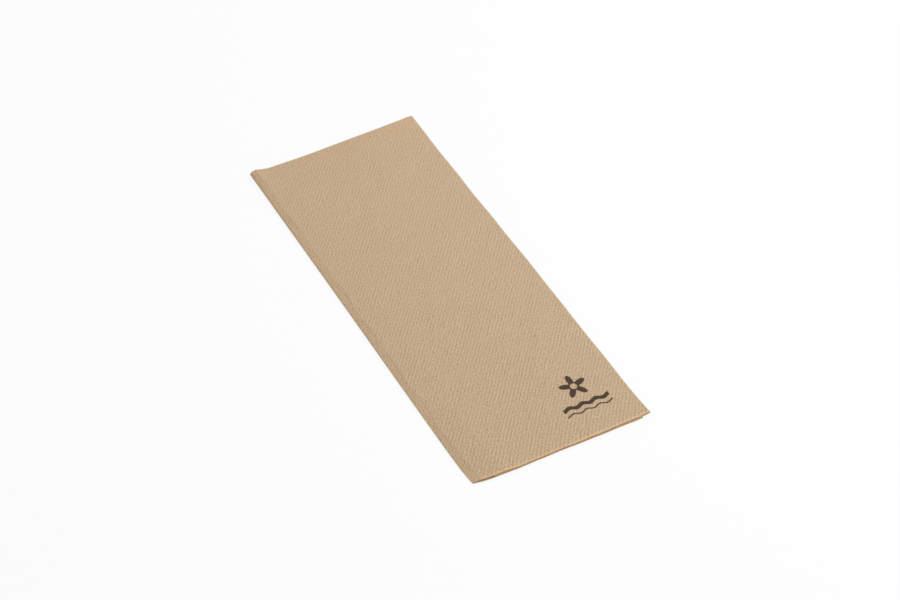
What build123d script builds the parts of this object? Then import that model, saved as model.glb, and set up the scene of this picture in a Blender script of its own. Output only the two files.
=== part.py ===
from build123d import *
import os
from collections import namedtuple
from math import cos, radians, tan

# Paper napkin: one two-ply sheet of embossed tissue, folded to an eighth of its size.
#
# The flat sheet is folded once across its length, which closes the far end (+Y), and the
# doubled sheet is then folded twice along its length. Four doubled panels lie on each
# other: the bottom and the top panel meet at the spine (-X), the second and the third at a
# fold tucked inside the spine, and the top and the third at the bend (+X), which stands
# out past the cut edges below it. The near end (-Y) shows the cut edges of all eight
# leaves. The stack is pressed flat at the near end and springs open towards the far end,
# where the sheet is folded both ways.
#
# Millimetres, +Z up. The origin is under the middle of the napkin, on the table.

# Driving dimensions

sheet_width = 300.0     # flat sheet, across the long folds
sheet_length = 400.0    # flat sheet, along the long folds
leaf = 0.17             # one leaf, two embossed plies pressed together
overhang = 3.6          # how far the bend stands out past the cut edges below it
set_back = 0.8          # how far the inner leaf's near edge lies behind the outer leaf's
tuck_depth = 10.0       # from the spine to the fold tucked inside it
crest_in = 3.6          # from the spine to the crest of the top panel
crest_radius = 1.8
low_in = 22.0           # from the spine to the top panel's low line
bowl_radius = 60.0      # how gently the top panel turns up again there
pressed = 0.01          # how much the table flattens the underside

# The near end, pressed flat

near_leaf_gap = 0.09    # air between the two leaves of a doubled panel
near_panel_gap = 0.09   # air between one doubled panel and the next
near_rise_slope = 14.0  # degrees, how steeply the top panel climbs from the spine
near_crest_rise = 0.10  # how far the crest stands above the low line
near_top_slope = 0.1    # degrees, how the top panel climbs from the low line to the bend

# The far end, sprung open

far_leaf_gap = 0.20
far_panel_gap = 0.18
far_rise_slope = 20.0
far_crest_rise = 0.60
far_top_slope = 0.6

# How the folds open between the two ends

opening_power = 1.5     # 1 is evenly, more is faster towards the far end
spans = 7               # straight stretches that the length is divided into

# Sizes that follow

napkin_width = sheet_width / 4 + (overhang + tuck_depth) / 2
napkin_length = sheet_length / 2
cut_edge = napkin_width - overhang

Folds = namedtuple("Folds", "leaf_gap panel_gap rise_slope crest_rise top_slope")
near_folds = Folds(near_leaf_gap, near_panel_gap, near_rise_slope, near_crest_rise, near_top_slope)
far_folds = Folds(far_leaf_gap, far_panel_gap, far_rise_slope, far_crest_rise, far_top_slope)

# The side on which a straight stretch of the sheet passes a roller

over = Tangency.OUTSIDE
under = Tangency.ENCLOSING


def opened(along):
    """The folds' sizes at a share of the length, counted from the near end."""
    share = along**opening_power
    return Folds(*(near + share * (far - near) for near, far in zip(near_folds, far_folds)))


def half(folds):
    """Half the thickness of a doubled panel."""
    return folds.leaf_gap / 2 + leaf


def level(folds, panel):
    """Height of a panel's middle line, counted from 0 for the bottom panel."""
    return half(folds) + panel * (2 * half(folds) + folds.panel_gap)


def fold_radius(height, slope):
    """Radius of a fold between a level panel and one above it that leaves it at slope.

    height is the distance between the two panels' middle lines at the fold's outer edge.
    """
    return height / (1 + 1 / cos(radians(slope)) - tan(radians(slope)))


def roller(x, z, radius):
    """A construction circle that the sheet is folded around."""
    return CenterArc((x, z), radius, 0, 360, mode=Mode.PRIVATE)


def fold_line(folds, shift):
    """The folded sheet's line seen along the napkin, with x from the spine and z up.

    It runs from the bottom panel's cut edge round the spine, over the top panel, round the
    bend, back to the tucked fold and out to the third panel's cut edge, straight between
    one roller and the next. A positive shift moves it outwards at the spine and the bend.
    Returns its two ends.
    """
    # Heights of the top panel where its two slopes reach the spine's and the bend's edge
    rise, climb = radians(folds.rise_slope), radians(folds.top_slope)
    crest_z = level(folds, 3) + folds.crest_rise - crest_radius
    bowl_z = level(folds, 3) + bowl_radius
    spine_z = crest_z + crest_radius / cos(rise) - (crest_in - half(folds)) * tan(rise)
    bend_run = napkin_width - half(folds) - low_in
    bend_z = bowl_z - bowl_radius / cos(climb) + bend_run * tan(climb)

    spine_radius = fold_radius(spine_z - level(folds, 0), folds.rise_slope)
    bend_radius = fold_radius(bend_z - level(folds, 2), -folds.top_slope)
    tuck_radius = (level(folds, 2) - level(folds, 1)) / 2
    spine_x = half(folds) + spine_radius
    bend_x = napkin_width - half(folds) - bend_radius
    tuck_x = tuck_depth + tuck_radius

    spine = roller(spine_x, level(folds, 0) + spine_radius, spine_radius + shift)
    crest = roller(crest_in, crest_z, crest_radius + shift)
    bowl = roller(low_in, bowl_z, bowl_radius - shift)
    bend = roller(bend_x, level(folds, 2) + bend_radius, bend_radius + shift)

    bottom = Line((cut_edge, level(folds, 0) - shift), (spine_x, level(folds, 0) - shift))
    flank = ConstrainedLines((spine, over), (crest, over)).edge()
    TangentArc(bottom @ 1, flank @ 0, tangent=bottom % 1)
    fall = ConstrainedLines((crest, over), (bowl, under)).edge()
    TangentArc(flank @ 1, fall @ 0, tangent=flank % 1)
    top = ConstrainedLines((bowl, under), (bend, over)).edge()
    TangentArc(fall @ 1, top @ 0, tangent=fall % 1)
    third = Line((bend_x, level(folds, 2) - shift), (tuck_x, level(folds, 2) - shift))
    TangentArc(top @ 1, third @ 0, tangent=top % 1)
    second = Line((tuck_x, level(folds, 1) + shift), (cut_edge, level(folds, 1) + shift))
    TangentArc(third @ 1, second @ 0, tangent=third % 1)
    return bottom @ 0, second @ 1


def leaf_section(folds, shift):
    """The closed outline of one leaf whose middle line lies at shift from the fold line."""
    outer_start, outer_finish = fold_line(folds, shift + leaf / 2)
    inner_start, inner_finish = fold_line(folds, shift - leaf / 2)
    Line(outer_start, inner_start)
    Line(outer_finish, inner_finish)


def across(y):
    """The plane across the napkin at y, with its origin below the spine's outer edge."""
    return Plane(origin=(-napkin_width / 2, y, -pressed), x_dir=(1, 0, 0), z_dir=(0, -1, 0))


near_y = -napkin_length / 2
far_y = napkin_length / 2 - half(far_folds)

with BuildLine() as far_route:
    fold_line(far_folds, 0)
far_fold = across(far_y).location * far_route.wire()

with BuildPart() as napkin:
    # The outer and the inner leaf of the doubled sheet, from the cut edges to the far fold
    for side, cut_y in ((1, near_y), (-1, near_y + set_back)):
        for step in range(spans + 1):
            folds = opened(step / spans)
            y = near_y + (far_y - near_y) * step / spans
            with BuildSketch(across(max(y, cut_y))):
                with BuildLine():
                    leaf_section(folds, side * (folds.leaf_gap + leaf) / 2)
                make_face()
        loft(ruled=True)

    # The fold across the sheet: a half ring that joins the leaves all along the fold line
    with BuildSketch(Plane(far_fold @ 0, x_dir=(0, 1, 0), z_dir=far_fold % 0)):
        with BuildLine():
            outside = CenterArc((0, 0), half(far_folds), -90, 180)
            inside = CenterArc((0, 0), far_leaf_gap / 2, -90, 180)
            Line(outside @ 0, inside @ 0)
            Line(outside @ 1, inside @ 1)
        make_face()
    sweep(path=far_fold)

    # The underside, flat on the table
    split(bisect_by=Plane.XY, keep=Keep.TOP)

napkin.part.label = "napkin"

os.makedirs("parts", exist_ok=True)
export_step(napkin.part, "parts/napkin.step")
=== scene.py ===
import math

import bpy
import numpy as np
from mathutils import Matrix, Vector


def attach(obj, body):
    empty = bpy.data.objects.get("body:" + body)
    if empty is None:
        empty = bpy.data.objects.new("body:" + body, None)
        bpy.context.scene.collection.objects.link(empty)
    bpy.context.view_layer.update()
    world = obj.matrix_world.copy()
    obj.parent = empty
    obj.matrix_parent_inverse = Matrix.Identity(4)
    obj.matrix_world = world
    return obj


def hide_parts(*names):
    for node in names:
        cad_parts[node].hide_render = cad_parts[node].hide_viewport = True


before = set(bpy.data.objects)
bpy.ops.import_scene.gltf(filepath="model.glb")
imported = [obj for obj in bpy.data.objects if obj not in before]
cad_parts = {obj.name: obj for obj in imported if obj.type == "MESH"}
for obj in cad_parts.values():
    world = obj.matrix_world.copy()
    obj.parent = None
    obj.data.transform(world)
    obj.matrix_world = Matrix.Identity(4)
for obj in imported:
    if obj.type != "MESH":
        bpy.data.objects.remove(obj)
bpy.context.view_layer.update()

# The napkin: one sheet of unbleached two-ply tissue, 300 x 400 mm. It is embossed between
# steel rollers, which also holds the plies together, then folded once across its length
# and twice along it by a folding machine. Nothing holds the folds, so they spring open a little.

sheet_width = 300.0     # mm, across the long folds
sheet_length = 400.0    # mm, along them
leaf = 0.17             # two embossed plies pressed together
overhang = 3.6          # how far the bend stands out past the cut edges below it
tuck_depth = 10.0       # from the spine to the fold tucked inside it
set_back = 0.15         # the inner leaf's near edge behind the outer leaf's
folded_width = sheet_width / 4 + (overhang + tuck_depth) / 2
folded_length = sheet_length / 2

# The folds' sizes in mm: at the near end, at the far end, and what the far fold's spring
# adds there, dying away over spring_reach
air = 0.02, 0.01, 0.0           # between two panels; twice that between a panel's leaves
tucked_air = 0.22, 0.04, 0.0    # what the tucked fold adds between the panels that it joins
spine_height = 0.80, 1.35, 1.30
crease_in = 3.10, 3.30, -0.80   # from the spine to the crease beside it
crease_top = 1.50, 2.00, 1.10
bend_top = 2.10, 2.45, 1.55
spring_reach = 15.0
crease_radius = 0.6
spine_least = 4.2               # half panels: the spine joins two, with some air between
touch_air = 0.02                # under the top panel where it lies on the third

# The fold line has a straight run in each panel and in the flank between spine and crease.
# A place on it is a number: a run goes from its own number to the next one, and the roller
# after it goes on to the next run's number
bottom, flank, top, third, second = 0, 2, 4, 6, 8
line_end = second + 1


def sprung(y, near, far, spring):
    """A size at y mm from the near end: it goes evenly from near to far, and the far fold's
    spring is added to it, times exp(-distance from the far end / spring_reach)."""
    share = y / folded_length
    return near + (far - near) * share + spring * np.exp(-(folded_length - y) / spring_reach)


def waves(x, y, terms):
    """A sum of sine waves over x and y, each (wavelength x, wavelength y, phase, height);
    an infinite wavelength leaves that direction out."""
    return sum(high * np.sin(2 * np.pi * (x / wide + y / long) + phase)
               for wide, long, phase, high in terms)


def step(x, low, high):
    """0 below low, 1 above high, and the cubic 3t^2 - 2t^3 between them."""
    t = np.clip((x - low) / (high - low), 0, 1)
    return t * t * (3 - 2 * t)


def hump(x, middle, width):
    """1 at the middle, and exp(-((x - middle) / width)^2) away from it."""
    return np.exp(-(((x - middle) / width) ** 2))


def layers(y):
    """Half a doubled panel's thickness at y, and the heights of the three lower panels'
    middles: each lies on the one below it with a little air between them."""
    between = sprung(y, *air)
    half = leaf + between
    third_level = 5 * half + 2 * between + sprung(y, *tucked_air)
    return half, [half, 3 * half + between, third_level]


def fold_knots(y):
    """The rollers and the headings of the folded sheet's middle line at each y.

    The line is a thread laid round rollers: the bottom panel's cut edge, the spine, the
    crease beside it, the bend, the tucked fold and the second panel's cut edge. A roller
    is (x, z, radius), with a positive radius where the line turns right round it. Between
    two rollers the line is their common tangent, whose heading is the angle from one centre
    to the next plus asin((radius 2 - radius 1) / distance). Each knot is a place where a
    straight run meets a roller: (x, z, radius, heading), two for every run."""
    half, level = layers(y)
    spine = np.maximum(sprung(y, *spine_height), spine_least * half)
    crease_x = sprung(y, *crease_in) + waves(0, y, [
        (np.inf, 37.0, 0.4, 0.25), (np.inf, 23.0, 2.0, 0.20)])
    cut = np.full_like(y, folded_width - overhang)
    flat = np.zeros_like(y)

    spine_r = spine / 2 - half
    crease_r = np.full_like(y, crease_radius)
    bend_r = (sprung(y, *bend_top) - level[2] + half) / 2 - half
    tuck_r = (level[2] - level[1]) / 2
    rollers = np.array([
        [cut, level[0], flat],
        [spine / 2, spine / 2, spine_r],
        [crease_x, sprung(y, *crease_top) - half - crease_r, crease_r],
        [folded_width - half - bend_r, level[2] + bend_r, bend_r],
        [tuck_depth + tuck_r, (level[1] + level[2]) / 2, -tuck_r],
        [cut, level[1], flat],
    ])
    x, z, r = rollers.transpose(1, 0, 2)
    gap_x, gap_z = np.diff(x, axis=0), np.diff(z, axis=0)
    heading = np.arctan2(gap_z, gap_x) + np.arcsin(np.diff(r, axis=0) / np.hypot(gap_x, gap_z))
    # The bottom and the third panel are level and run back, the third after a full right turn
    heading[bottom // 2] = np.pi
    heading[third // 2] = -np.pi
    knot = np.arange(line_end + 1)
    run, roller = knot // 2, knot // 2 + knot % 2
    return np.stack([x[roller], z[roller], r[roller], heading[run]], axis=-1).transpose(1, 0, 2)


def resting(x, from_near, z, touching):
    """The top panel's height, from z, its height on the straight run from crease to bend, and
    touching, its height where it lies on the third panel.

    It sags towards the far fold by 2.3 (1 - share)(1 + 0.6 share) mm, where share goes from 0
    at the crease to 1 at the bend, stands up over the tucked fold by a hump of 0.62 mm, and
    waves a little; loose, 1 - exp(-(distance / 5)^1.4), lets all of that grow from the crease.
    It stays above what is under it by the smooth maximum under + soft log(1 + exp((z - under)
    / soft)). Nearer the spine than the tucked fold there is no third panel to lie on."""
    start, end, soft = 2.5, folded_width - 2.0, 0.05
    past = np.clip(x - start, 0, None)
    share = np.clip(past / (end - start), 0, 1)
    loose = 1 - np.exp(-((past / 5.0) ** 1.4))
    sag = sprung(from_near, 0.0, 0.0, -2.3) * loose * (1 - share) * (1 + 0.6 * share)
    bridge = 0.62 * loose * hump(x, 12.5, 6.5) * (0.35 + 0.65 * np.exp(-from_near / 45.0))
    wave = loose * (1 - share) * waves(x, from_near, [
        (61.0, 140.0, 0.3, 0.06), (-38.0, 75.0, 1.9, 0.05), (np.inf, 52.0, 4.0, 0.05)])
    under = touching - 1.2 * (1 - step(x, 8.0, 10.5))
    return under + soft * np.logaddexp(0, (z + sag + bridge + wave - under) / soft)


def wandering(x, y, z, from_near, below):
    """The same places with nothing quite straight. Heights wave by a few percent. The spine
    bows out by up to 1.1 mm in its nearer half, and the bend by 0.6 mm at the near end and
    0.32 mm half way along; a place between them moves by each bow times the square of its
    share of the way from the other edge. The near end's line wavers, its corners are rounded,
    and the lower panels, where below is 1, lie up to 0.22 mm behind the top one; all of that
    dies away as exp(-distance from the near end / 12)."""
    from_far = folded_length - from_near
    z = z * (1 + waves(x, from_near, [
        (47.0, 90.0, 0.0, 0.018), (-29.0, 43.0, 1.1, 0.014), (90.0, -26.0, 2.6, 0.012)]))
    spine_bow = (1.1 * (1 - 0.8 * np.exp(-from_near / 6.0)) * hump(from_near, 0.0, 110.0)
                 + 0.2 * np.exp(-from_far / 5.0))
    bend_bow = (0.32 * hump(from_near, 96.0, 26.0) + 0.6 * np.exp(-from_near / 5.0)
                + waves(0, from_near, [(np.inf, 31.0, 0.7, 0.07)]))
    hidden = 0.22 * step(x, 6.0, 14.0) * (1 - 0.85 * step(x, 50.0, 74.0)) - 0.15 * hump(x, 3.0, 1.5)
    rounded = 1.1 * hump(x, 0.0, 6.8) + 0.3 * hump(x, 0.0, 1.5) + 0.3 * step(x, 77.0, 80.0)
    across = np.clip(x / folded_width, 0, 1)
    x = x - spine_bow * (1 - across) ** 2 + bend_bow * across ** 2
    waver = waves(x, 0, [(33.0, np.inf, 0.5, 0.10), (14.0, np.inf, 2.2, 0.05)])
    y = y + np.exp(-from_near / 12.0) * (hidden * below + rounded + waver)
    return x, y, z


def leaf_grid(side, columns, rows, turn):
    """One face of the sheet as a grid of points: side is +1 for the face that ends up outside.

    A column is a place on the fold line, read off evenly between two knots. A row is a place
    along the sheet: y on the fold line, and the turn round the far fold, 0 on the outer leaf
    and pi on the inner one. A point stands off the doubled panel's middle by
    (half the air + half a leaf, plus or minus half a leaf), along the line's normal times
    cos(turn) and along y times sin(turn)."""
    knots = fold_knots(rows)
    k = np.minimum(columns.astype(int), second)
    t = (columns - k)[None, :, None]
    x, z, r, heading = np.moveaxis(knots[:, k] * (1 - t) + knots[:, k + 1] * t, -1, 0)
    half, level = layers(rows)
    stand_off = (half - leaf / 2 + side * leaf / 2)[:, None]
    off_line, along_y = stand_off * np.cos(turn)[:, None], stand_off * np.sin(turn)[:, None]
    from_near = rows[:, None]
    x = x - np.sin(heading) * (r + off_line)
    y = from_near + along_y + 0 * x
    z = z + np.cos(heading) * (r + off_line)

    touching = (level[2] + 2 * half + touch_air)[:, None]
    on_top = (columns > top) & (columns < top + 1)
    z = np.where(on_top, resting(x, from_near, z - off_line, touching) + off_line, z)
    below = np.interp(columns, [bottom, bottom + 1, flank, top + 1, third, line_end],
                      [1, 1, 0, 0, 1, 1])
    x, y, z = wandering(x, y, z, from_near, below)
    return np.stack([x - folded_width / 2, y - folded_length / 2, z], axis=-1)


def spread(counts):
    """Column places: counts[i] even steps between knot i and knot i + 1."""
    steps = [i + np.arange(n) / n for i, n in enumerate(counts)]
    return np.concatenate(steps + [[len(counts)]])


# The rows crowd towards both ends of the outer leaf, go round the far fold in a few steps and
# come back along the inner leaf
leaf_rows, turn_steps = 121, 8
crowding = 0.85         # 0 spaces the rows evenly, 1 closes them up at the ends
columns = spread([20, 12, 4, 4, 44, 12, 20, 8, 20])
share = np.linspace(0, 1, leaf_rows)
axis_y = folded_length - layers(np.array([folded_length]))[0]
along = axis_y * (share - crowding * np.sin(2 * np.pi * share) / (2 * np.pi))
back = along[::-1] + set_back * (1 - along[::-1] / axis_y)
arc = np.linspace(0, np.pi, turn_steps + 1)[1:-1]
rows = np.concatenate([along, np.full(len(arc), axis_y), back])
turn = np.concatenate([np.zeros(len(along)), arc, np.full(len(back), np.pi)])
outer, inner = (leaf_grid(side, columns, rows, turn) for side in (1, -1))

# The flat sheet's own millimetres, as distances along the grid between the two faces
middle = (outer + inner) / 2
u = np.cumsum(np.linalg.norm(np.diff(middle, axis=1, prepend=middle[:, :1]), axis=-1), axis=1)
u = u - u[:, -1:] / 2
v = np.cumsum(np.linalg.norm(np.diff(middle, axis=0, prepend=middle[:1]), axis=-1), axis=0)
v = np.broadcast_to(v.mean(axis=1, keepdims=True), u.shape)


def quads(i):
    """The four corners of each cell of a grid of point numbers."""
    return np.stack([i[:-1, :-1], i[:-1, 1:], i[1:, 1:], i[1:, :-1]], axis=-1).reshape(-1, 4)


count = outer[..., 0].size
face_out = np.arange(count).reshape(outer.shape[:2])
face_in = face_out + count
rims = [
    np.stack([face_out[0], face_in[0]]),
    np.stack([face_in[-1], face_out[-1]]),
    np.stack([face_in[:, 0], face_out[:, 0]]),
    np.stack([face_out[:, -1], face_in[:, -1]]),
]
skins = np.concatenate([quads(face_out), quads(face_in)[:, ::-1]])
faces = np.concatenate([skins] + [quads(rim)[:, ::-1] for rim in rims])
points = np.concatenate([outer.reshape(-1, 3), inner.reshape(-1, 3)]) / 1000
mesh = bpy.data.meshes.new("napkin_sheet")
mesh.from_pydata(points.tolist(), [], faces.tolist())
mesh.polygons.foreach_set("use_smooth", np.ones(len(faces), bool))
mesh.set_sharp_from_angle(angle=math.radians(50))
corner = np.empty(len(mesh.loops), np.int32)
mesh.loops.foreach_get("vertex_index", corner)
on_rim = np.arange(len(corner)) >= skins.size

# The map is the flat sheet's, in metres, and the inner face's lies beside the outer one's. The
# rims take the outer face's map, so that the embossing isn't swept through the paper
inner_aside = 500.0     # mm, more than the sheet's width
flat_mm = np.stack([np.concatenate([u.ravel(), -u.ravel() - inner_aside]),
                    np.tile(v.ravel(), 2)], axis=-1)
flat_mm = flat_mm[np.where(on_rim, corner % count, corner)]
flat_map = mesh.uv_layers.new(name="flat_sheet").data
flat_map.foreach_set("uv", (flat_mm / 1000).astype(np.float32).ravel())

# How far, in mm, a place lies past the strip that the rollers ironed, which goes from just
# under the spine to the crease. A tenth of the distance from the far fold keeps it below that
# there, because the far fold is ironed too
strip_under = 3.5       # mm, below the spine
crease, spine = (np.abs(columns - place).argmin() for place in (top, (bottom + 1 + flank) / 2))
ironed = np.maximum(u - u[:, [crease]], u[:, [spine]] - strip_under - u)
ironed = np.minimum(ironed, 0.1 * np.abs(v - v.max() / 2) - 0.4)
past_strip = mesh.attributes.new("past_ironed_strip", "FLOAT", "POINT").data
past_strip.foreach_set("value", np.tile(ironed.ravel(), 2).astype(np.float32))

# How much painted glow the near cut edge gets, a paler colour standing in for light let in
# through the thin paper: it fades over lit_reach mm, and is less on the lower panels, beside
# the spine and on the rim itself, which faces the eye
lit_reach, lit_lower, lit_spine, lit_rim = 0.8, 0.8, 0.3, 0.1
above_spine = 1.6       # a place a little above the spine's middle
shown = np.where((columns > above_spine) & (columns < third), 1.0, lit_lower)
beside_spine = lit_spine + (1 - lit_spine) * step(outer[..., 0] + folded_width / 2, 0.5, 4.0)
painted_edge_glow = shown * hump(rows, 0.0, lit_reach)[:, None] * beside_spine
painted_edge_glow = np.where(on_rim, lit_rim, np.tile(painted_edge_glow.ravel(), 2)[corner])
edge_light = mesh.attributes.new("painted_edge_glow", "FLOAT", "CORNER").data
edge_light.foreach_set("value", painted_edge_glow.astype(np.float32))

napkin = bpy.data.objects.new("napkin_sheet", mesh)
bpy.context.collection.objects.link(napkin)


def colour(text):
    """An sRGB hex value as linear RGBA: c / 12.92 up to 0.04045, else ((c + 0.055) / 1.055)^2.4."""
    s = [int(text[i:i + 2], 16) / 255 for i in (1, 3, 5)]
    return [c / 12.92 if c <= 0.04045 else ((c + 0.055) / 1.055) ** 2.4 for c in s] + [1.0]


def add(tree, kind, links=None, out=0, **settings):
    """Adds a shader node and gives its output out. Settings named like the node's properties
    are set on it, those named in_N on its input N; links gives an output for each input."""
    node = tree.nodes.new(kind)
    for name, value in settings.items():
        if name.startswith("in_"):
            node.inputs[int(name[3:])].default_value = value
        else:
            setattr(node, name, value)
    for number, output in (links or {}).items():
        tree.links.new(output, node.inputs[number])
    return node.outputs[out]


# Unbleached tissue: matt, warm, embossed with ribs that catch the light on one flank, a
# little mottled by the pulp, with a few dark fibres, with painted shade in the emboss hollows,
# and a painted glow where its cut edge stands in for light let in through the paper
paper, hollow_shade_and_mottle, strip_brown = "#D8BF9F", "#BC9F7F", "#D2AE88"
fibre, lit_edge, ink = "#8A7358", "#E9C396", "#3D2C26"
rib_pitch, dash, rib_angle = 0.00141, 0.0042, math.radians(-40.5)
emboss_depth = 0.000092     # m, from the foot of a rib to its top
pulp_grain = 1400.0         # clumps of pulp in a metre: one in 0.7 mm
fibre_grain = 160.0         # a fibre in about 6 mm
mottle_grain = 110.0        # paler and darker patches 9 mm across
step_grain = 70.0           # the step beside the ironed strip wavers over 14 mm
ironed_share = 0.5          # how much of the ribs' height the ironing leaves

material = bpy.data.materials.new("unbleached_tissue")
material.use_nodes = True
mesh.materials.append(material)
tree = material.node_tree
shader = tree.nodes["Principled BSDF"]
sheet = add(tree, "ShaderNodeUVMap", uv_map="flat_sheet")

# x counts the ribs and y the dashes they are broken into. The wave texture has a period of
# pi / 10 units at scale 1, so that scale gives it one rib in a unit
ribs = add(tree, "ShaderNodeMapping", {0: sheet}, vector_type="TEXTURE",
           in_2=(0, 0, rib_angle), in_3=(rib_pitch, dash, 1))
rib = add(tree, "ShaderNodeTexWave", {0: ribs}, 1,
          in_1=math.pi / 10, in_2=1.5, in_3=2.0, in_4=0.4, in_5=0.6)
rib = add(tree, "ShaderNodeMath", {0: rib}, operation="SUBTRACT", in_1=0.5)
dashes = add(tree, "ShaderNodeTexNoise", {0: ribs}, in_2=1.6, in_3=1.0, in_4=0.5)
dashes = add(tree, "ShaderNodeMapRange", {0: dashes}, in_1=0.3, in_2=0.7, in_3=0.45, in_4=1.65)

# The strip beside the spine is ironed smoother, and the pulp is lumpy all over
past = add(tree, "ShaderNodeAttribute", out="Fac", attribute_name="past_ironed_strip")
kept = add(tree, "ShaderNodeMapRange", {0: past},
           in_1=-0.4, in_2=0.6, in_3=ironed_share, in_4=1.0)
dashes = add(tree, "ShaderNodeMath", {0: dashes, 1: kept}, operation="MULTIPLY")
pulp = add(tree, "ShaderNodeTexNoise", {0: sheet}, in_2=pulp_grain, in_3=1.0, in_4=0.7)
pulp = add(tree, "ShaderNodeMapRange", {0: pulp}, in_3=-3.0, in_4=3.0)
height = add(tree, "ShaderNodeMath", {0: rib, 1: dashes, 2: pulp}, operation="MULTIPLY_ADD")

# The pressing at the near end leaves the embossing crisper there than towards the far fold
along_sheet = add(tree, "ShaderNodeSeparateXYZ", {0: sheet}, 1)
crisp = add(tree, "ShaderNodeMapRange", {0: along_sheet},
            in_1=0.0, in_2=folded_length / 1000, in_3=1.2, in_4=0.78)
height = add(tree, "ShaderNodeMath", {0: height, 1: crisp}, operation="MULTIPLY")

# The paper outside the ironed strip stands up a step, which isn't the same height all along
outside = add(tree, "ShaderNodeMapRange", {0: past}, in_1=-0.6, in_2=0.1)
stair = add(tree, "ShaderNodeTexNoise", {0: sheet}, in_2=step_grain, in_3=1.0)
stair = add(tree, "ShaderNodeMapRange", {0: stair}, in_1=0.4, in_2=0.6, in_3=0.3, in_4=2.2)
raised = add(tree, "ShaderNodeMath", {0: outside, 1: stair, 2: height},
             operation="MULTIPLY_ADD")
bump = add(tree, "ShaderNodeBump", {3: raised}, in_0=1.0, in_1=emboss_depth)
tree.links.new(bump, shader.inputs["Normal"])

# The tone follows the height, as painted shade that darkens the emboss hollows, and the
# mottling. The ironed strip is mixed a little towards a browner tint
mottle = add(tree, "ShaderNodeTexNoise", {0: sheet}, in_2=mottle_grain, in_3=3.0, in_4=0.6)
tone = add(tree, "ShaderNodeMath", {0: mottle, 2: height}, operation="MULTIPLY_ADD", in_1=0.12)
tone = add(tree, "ShaderNodeMapRange", {0: tone}, in_1=-1.2, in_2=1.3)
# Painted shade and mottling: the darker colour covers the emboss hollows and the mottle's darker
# patches
ground = add(tree, "ShaderNodeMix", {0: tone}, 2, data_type="RGBA",
             in_6=colour(hollow_shade_and_mottle), in_7=colour(paper))
browned = add(tree, "ShaderNodeMapRange", {0: kept},
              in_1=ironed_share, in_2=1.0, in_3=0.25, in_4=0.0)
ground = add(tree, "ShaderNodeMix", {0: browned, 6: ground}, 2, data_type="RGBA",
             in_7=colour(strip_brown))
fibres = add(tree, "ShaderNodeTexVoronoi", {0: sheet}, in_2=fibre_grain)
fibres = add(tree, "ShaderNodeMapRange", {0: fibres},
             in_1=0.035, in_2=0.05, in_3=0.75, in_4=0.0)
ground = add(tree, "ShaderNodeMix", {0: fibres, 6: ground}, 2, data_type="RGBA",
             in_7=colour(fibre))
# Painted glow: the near cut edge is mixed towards a paler colour that stands in for light let in
# through the paper
cut = add(tree, "ShaderNodeAttribute", out="Fac", attribute_name="painted_edge_glow")
ground = add(tree, "ShaderNodeMix", {0: cut, 6: ground}, 2, data_type="RGBA",
             in_7=colour(lit_edge))

# The print near the bend: a flower of five petals over two waved rules. Petals reach out to
# petal_mean + petal_swing cos(5 angle) mm from the flower's middle, which is print_in mm from
# the spine and print_up mm from the near end. Each shape is a distance in mm that is above
# zero inside it; the least of two distances is where both are, and the most where either is
print_in, print_up = 61.0, 26.0
petals, petal_mean, petal_swing, eye = 5.0, 4.3, 2.0, 1.5
rule_half_length, rule_swing = 11.0, 0.5
rules = (10.0, 1.0), (13.3, 0.35)   # mm below the flower's middle, and half their thickness

off_place = np.hypot(outer[..., 0] + folded_width / 2 - print_in,
                     outer[..., 1] + folded_length / 2 - print_up)
seen_panel = (columns >= top) & (columns <= top + 1) & (turn[:, None] == 0)
nearest = np.where(seen_panel, off_place, np.inf).argmin()
i, j = np.unravel_index(nearest, off_place.shape)
place = add(tree, "ShaderNodeVectorMath", {0: sheet}, operation="SUBTRACT",
            in_1=(u[i, j] / 1000, v[i, j] / 1000, 0))
place = add(tree, "ShaderNodeVectorMath", {0: place}, operation="SCALE", in_3=1000.0)
px, py = (add(tree, "ShaderNodeSeparateXYZ", {0: place}, axis) for axis in (0, 1))

radius = add(tree, "ShaderNodeVectorMath", {0: place}, 1, operation="LENGTH")
angle = add(tree, "ShaderNodeMath", {0: px, 1: py}, operation="ARCTAN2")
angle = add(tree, "ShaderNodeMath", {0: angle}, operation="MULTIPLY", in_1=petals)
petal = add(tree, "ShaderNodeMath", {0: angle}, operation="COSINE")
petal = add(tree, "ShaderNodeMath", {0: petal}, operation="MULTIPLY_ADD",
            in_1=petal_swing, in_2=petal_mean)
inside = add(tree, "ShaderNodeMath", {0: petal, 1: radius}, operation="SUBTRACT")
past_eye = add(tree, "ShaderNodeMath", {0: radius}, operation="SUBTRACT", in_1=eye)
marks = add(tree, "ShaderNodeMath", {0: inside, 1: past_eye}, operation="MINIMUM")

wave = add(tree, "ShaderNodeMath", {0: px}, operation="SINE")
drop = add(tree, "ShaderNodeMath", {0: wave, 2: py}, operation="MULTIPLY_ADD", in_1=rule_swing)
end = add(tree, "ShaderNodeMath", {0: px}, operation="ABSOLUTE")
end = add(tree, "ShaderNodeMath", {1: end}, operation="SUBTRACT", in_0=rule_half_length)
for below, thick in rules:
    rule = add(tree, "ShaderNodeMath", {0: drop}, operation="ADD", in_1=below)
    rule = add(tree, "ShaderNodeMath", {0: rule}, operation="ABSOLUTE")
    rule = add(tree, "ShaderNodeMath", {1: rule}, operation="SUBTRACT", in_0=thick)
    rule = add(tree, "ShaderNodeMath", {0: rule, 1: end}, operation="MINIMUM")
    marks = add(tree, "ShaderNodeMath", {0: marks, 1: rule}, operation="MAXIMUM")
printed = add(tree, "ShaderNodeMapRange", {0: marks}, in_1=-0.1, in_2=0.1, in_3=0.0, in_4=0.93)
ground = add(tree, "ShaderNodeMix", {0: printed, 6: ground}, 2, data_type="RGBA",
             in_7=colour(ink))
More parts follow.
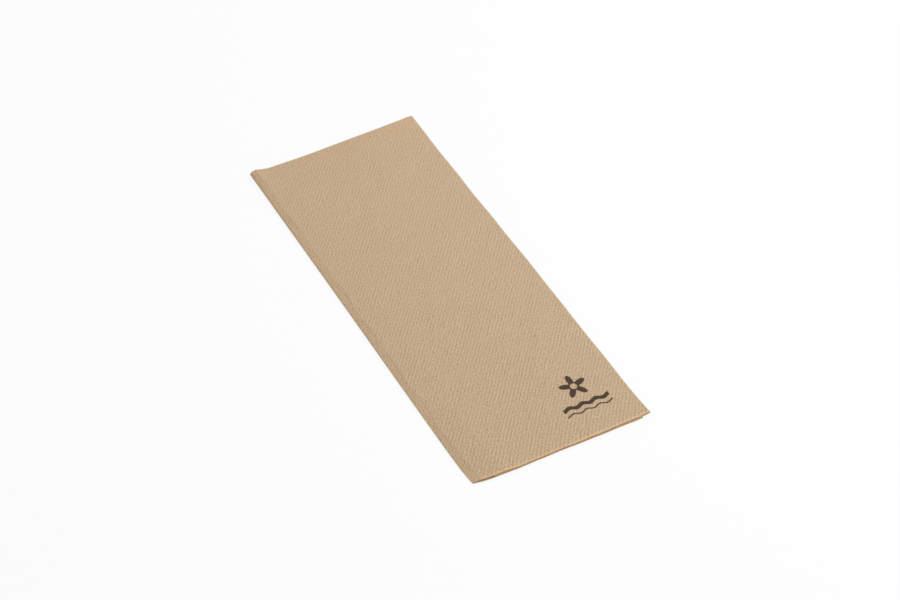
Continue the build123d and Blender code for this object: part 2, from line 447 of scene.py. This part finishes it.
tree.links.new(ground, shader.inputs["Base Color"])
shader.inputs["Roughness"].default_value = 0.92
shader.inputs["IOR"].default_value = 1.45
shader.inputs["Specular IOR Level"].default_value = 0.2

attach(napkin, "root")
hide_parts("napkin")

# The table and the light: a plain pale table under a wide soft lamp above and behind the
# napkin's right side, a small one low beside its near right corner, and a weak one in front,
# so that the ribs show and the edges stay bright

reach = 3.0                 # m, of the table to each side
table_drop = 0.0001         # below the napkin, so that the two don't share a plane
table_white = 0.86          # the share of plain white in what the camera sees of it
room_light = 0.405          # what the white room gives the napkin; the camera sees it as 1

table = bpy.data.meshes.new("table")
table.from_pydata([(-reach, -reach, 0), (reach, -reach, 0), (reach, reach, 0), (-reach, reach, 0)],
                  [], [(0, 1, 2, 3)])
floor = bpy.data.objects.new("table", table)
floor.location.z = -table_drop
bpy.context.collection.objects.link(floor)
paint = bpy.data.materials.new("white_table")
paint.use_nodes = True
tree = paint.node_tree
plain = tree.nodes["Principled BSDF"]
plain.inputs["Base Color"].default_value = colour("#F4F4F4")
plain.inputs["Roughness"].default_value = 0.9
seen = add(tree, "ShaderNodeLightPath", out="Is Camera Ray")
glow = add(tree, "ShaderNodeEmission", in_0=(1, 1, 1, 1), in_1=1.0)
part = add(tree, "ShaderNodeMath", {0: seen}, operation="MULTIPLY", in_1=table_white)
both = add(tree, "ShaderNodeMixShader", {0: part, 1: plain.outputs[0], 2: glow})
tree.links.new(both, tree.nodes["Material Output"].inputs[0])
table.materials.append(paint)

for name, place, size, watts in (
        ("overhead_softbox", (0.5, 0.3, 0.9), 0.8, 4.55),
        ("side_softbox", (0.415, -0.16, 0.4), 0.3, 1.12),
        ("front_fill", (-0.9, -1.35, 0.7), 1.2, 8.2)):
    lamp = bpy.data.lights.new(name, "AREA")
    lamp.size = size
    lamp.energy = watts
    holder = bpy.data.objects.new(name, lamp)
    holder.location = place
    holder.rotation_euler = (-Vector(place)).to_track_quat("-Z", "Y").to_euler()
    bpy.context.collection.objects.link(holder)

world = bpy.data.worlds.new("room")
world.use_nodes = True
tree = world.node_tree
rays = tree.nodes.new("ShaderNodeLightPath").outputs
white = add(tree, "ShaderNodeMath", {0: rays["Is Camera Ray"], 1: rays["Is Glossy Ray"]},
            operation="MAXIMUM")
white = add(tree, "ShaderNodeMath", {0: white, 1: rays["Is Transmission Ray"]},
            operation="MAXIMUM")
strength = add(tree, "ShaderNodeMapRange", {0: white}, in_3=room_light, in_4=1.0)
tree.links.new(strength, tree.nodes["Background"].inputs[1])
tree.nodes["Background"].inputs[0].default_value = (1, 1, 1, 1)
bpy.context.scene.world = world

# The camera stands where the photograph was taken from: 1.06 m away, looking down at 46
# degrees from beyond the near left corner, and slightly rolled

azimuth, elevation, roll = math.radians(-32.09), math.radians(45.78), math.radians(3.79)
distance = 1.0580                       # m
focal_px, photo_width_px = 2501.0, 900
sensor = 36.0                           # mm
aim = Vector((0.00060, -0.00621, 0.0))
away = Vector((math.sin(azimuth) * math.cos(elevation),
               -math.cos(azimuth) * math.cos(elevation),
               math.sin(elevation)))
level_right = (-away).cross(Vector((0, 0, 1))).normalized()
level_up = level_right.cross(-away)
right = level_right * math.cos(roll) + level_up * math.sin(roll)
up = level_up * math.cos(roll) - level_right * math.sin(roll)
camera = bpy.data.objects.new("camera", bpy.data.cameras.new("camera"))
camera.data.sensor_width = sensor
camera.data.lens = focal_px / photo_width_px * sensor
camera.data.clip_start = 0.05
turned = Matrix((right, up, away)).transposed().to_4x4()
camera.matrix_world = Matrix.Translation(aim + away * distance) @ turned
bpy.context.collection.objects.link(camera)
bpy.context.scene.camera = camera
bpy.context.scene.view_settings.view_transform = "Standard"
